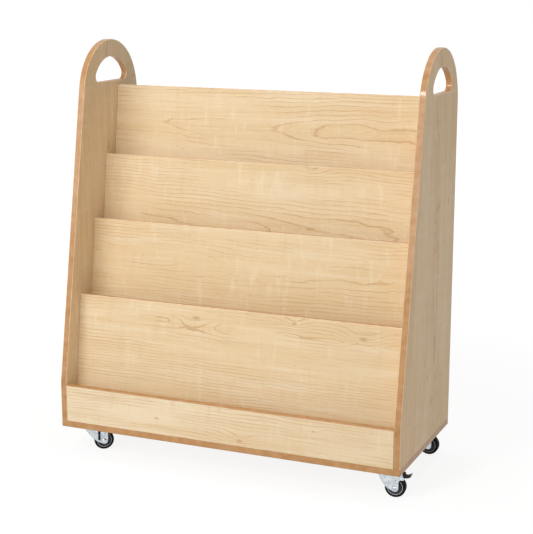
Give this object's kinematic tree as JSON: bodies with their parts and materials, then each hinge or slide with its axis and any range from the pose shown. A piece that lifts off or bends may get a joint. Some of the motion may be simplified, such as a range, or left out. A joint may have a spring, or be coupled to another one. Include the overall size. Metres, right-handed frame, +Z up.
{
  "type": "book display shelf",
  "caption": "Mobile shelf that shows books covers out in stepped rows, with arched end panels that hold hand holes, on swivel castors, two of them braked.",
  "frame": {"origin": "on the floor, under the middle of the base board", "axes": "+Z up, the front with the low lip faces -Y, +X to the right as seen from the front"},
  "size_m": [0.8711, 0.386, 0.987],
  "materials": {
    "maple_foil": "satin maple foil on fibreboard, lacquered edges",
    "lacquered_edge": "lacquered fibreboard edge",
    "zinc_plate": "bright zinc plate",
    "grey_nylon": "moulded",
    "black_rubber": "matt",
    "black_plastic": "moulded, satin"
  },
  "bodies": {
    "cabinet": {"base_board": "lacquered_edge", "left_end_panel": "maple_foil", "right_end_panel": "maple_foil", "front_fascia": "maple_foil", "tier_2_board": "maple_foil", "tier_3_board": "maple_foil", "tier_4_board": "maple_foil", "top_board": "maple_foil", "tier_2_shelf": "maple_foil", "tier_3_shelf": "maple_foil", "tier_4_shelf": "maple_foil", "castor_front_left_plate": "zinc_plate", "castor_front_left_kingpin": "zinc_plate", "castor_front_left_screw_1": "zinc_plate", "castor_front_left_screw_2": "zinc_plate", "castor_front_left_screw_3": "zinc_plate", "castor_front_left_screw_4": "zinc_plate", "castor_front_right_plate": "zinc_plate", "castor_front_right_kingpin": "zinc_plate", "castor_front_right_screw_1": "zinc_plate", "castor_front_right_screw_2": "zinc_plate", "castor_front_right_screw_3": "zinc_plate", "castor_front_right_screw_4": "zinc_plate", "castor_rear_left_plate": "zinc_plate", "castor_rear_left_kingpin": "zinc_plate", "castor_rear_left_screw_1": "zinc_plate", "castor_rear_left_screw_2": "zinc_plate", "castor_rear_left_screw_3": "zinc_plate", "castor_rear_left_screw_4": "zinc_plate", "castor_rear_right_plate": "zinc_plate", "castor_rear_right_kingpin": "zinc_plate", "castor_rear_right_screw_1": "zinc_plate", "castor_rear_right_screw_2": "zinc_plate", "castor_rear_right_screw_3": "zinc_plate", "castor_rear_right_screw_4": "zinc_plate"},
    "castor_front_left_swivel": {"castor_front_left_fork": "zinc_plate", "castor_front_left_bearing": "zinc_plate", "castor_front_left_axle": "zinc_plate"},
    "castor_front_left_wheel": {"castor_front_left_wheel": "grey_nylon", "castor_front_left_tyre": "black_rubber"},
    "castor_front_right_swivel": {"castor_front_right_fork": "zinc_plate", "castor_front_right_bearing": "zinc_plate", "castor_front_right_axle": "zinc_plate", "castor_front_right_brake_pin": "zinc_plate"},
    "castor_front_right_wheel": {"castor_front_right_wheel": "grey_nylon", "castor_front_right_tyre": "black_rubber"},
    "castor_front_right_brake": {"castor_front_right_brake_pedal": "black_plastic"},
    "castor_rear_left_swivel": {"castor_rear_left_fork": "zinc_plate", "castor_rear_left_bearing": "zinc_plate", "castor_rear_left_axle": "zinc_plate", "castor_rear_left_brake_pin": "zinc_plate"},
    "castor_rear_left_wheel": {"castor_rear_left_wheel": "grey_nylon", "castor_rear_left_tyre": "black_rubber"},
    "castor_rear_left_brake": {"castor_rear_left_brake_pedal": "black_plastic"},
    "castor_rear_right_swivel": {"castor_rear_right_fork": "zinc_plate", "castor_rear_right_bearing": "zinc_plate", "castor_rear_right_axle": "zinc_plate"},
    "castor_rear_right_wheel": {"castor_rear_right_wheel": "grey_nylon", "castor_rear_right_tyre": "black_rubber"}
  },
  "joints": [
    {"name": "castor_front_left_swivel", "type": "hinge", "parent": "cabinet", "child": "castor_front_left_swivel", "pos_m": [-0.376, -0.1415, 0.068], "axis": [0, 0, 1], "continuous": true},
    {"name": "castor_front_left_spin", "type": "hinge", "parent": "castor_front_left_swivel", "child": "castor_front_left_wheel", "pos_m": [-0.35335, -0.12504, 0.024], "axis": [-0.5878, 0.809, 0], "continuous": true},
    {"name": "castor_front_right_swivel", "type": "hinge", "parent": "cabinet", "child": "castor_front_right_swivel", "pos_m": [0.376, -0.1415, 0.068], "axis": [0, 0, 1], "continuous": true},
    {"name": "castor_front_right_spin", "type": "hinge", "parent": "castor_front_right_swivel", "child": "castor_front_right_wheel", "pos_m": [0.40385, -0.13857, 0.024], "axis": [-0.1045, 0.9945, 0], "continuous": true},
    {"name": "castor_front_right_brake", "type": "hinge", "parent": "castor_front_right_swivel", "child": "castor_front_right_brake", "pos_m": [0.41429, -0.13748, 0.053], "axis": [-0.1045, 0.9945, 0], "range_deg": [0, 12]},
    {"name": "castor_rear_left_swivel", "type": "hinge", "parent": "cabinet", "child": "castor_rear_left_swivel", "pos_m": [-0.367, 0.154, 0.068], "axis": [0, 0, 1], "continuous": true},
    {"name": "castor_rear_left_spin", "type": "hinge", "parent": "castor_rear_left_swivel", "child": "castor_rear_left_wheel", "pos_m": [-0.33911, 0.15156, 0.024], "axis": [0.0872, 0.9962, 0], "continuous": true},
    {"name": "castor_rear_left_brake", "type": "hinge", "parent": "castor_rear_left_swivel", "child": "castor_rear_left_brake", "pos_m": [-0.32865, 0.15065, 0.053], "axis": [0.0872, 0.9962, 0], "range_deg": [0, 12]},
    {"name": "castor_rear_right_swivel", "type": "hinge", "parent": "cabinet", "child": "castor_rear_right_swivel", "pos_m": [0.367, 0.154, 0.068], "axis": [0, 0, 1], "continuous": true},
    {"name": "castor_rear_right_spin", "type": "hinge", "parent": "castor_rear_right_swivel", "child": "castor_rear_right_wheel", "pos_m": [0.395, 0.15449, 0.024], "axis": [-0.0175, 0.9998, 0], "continuous": true}
  ]
}
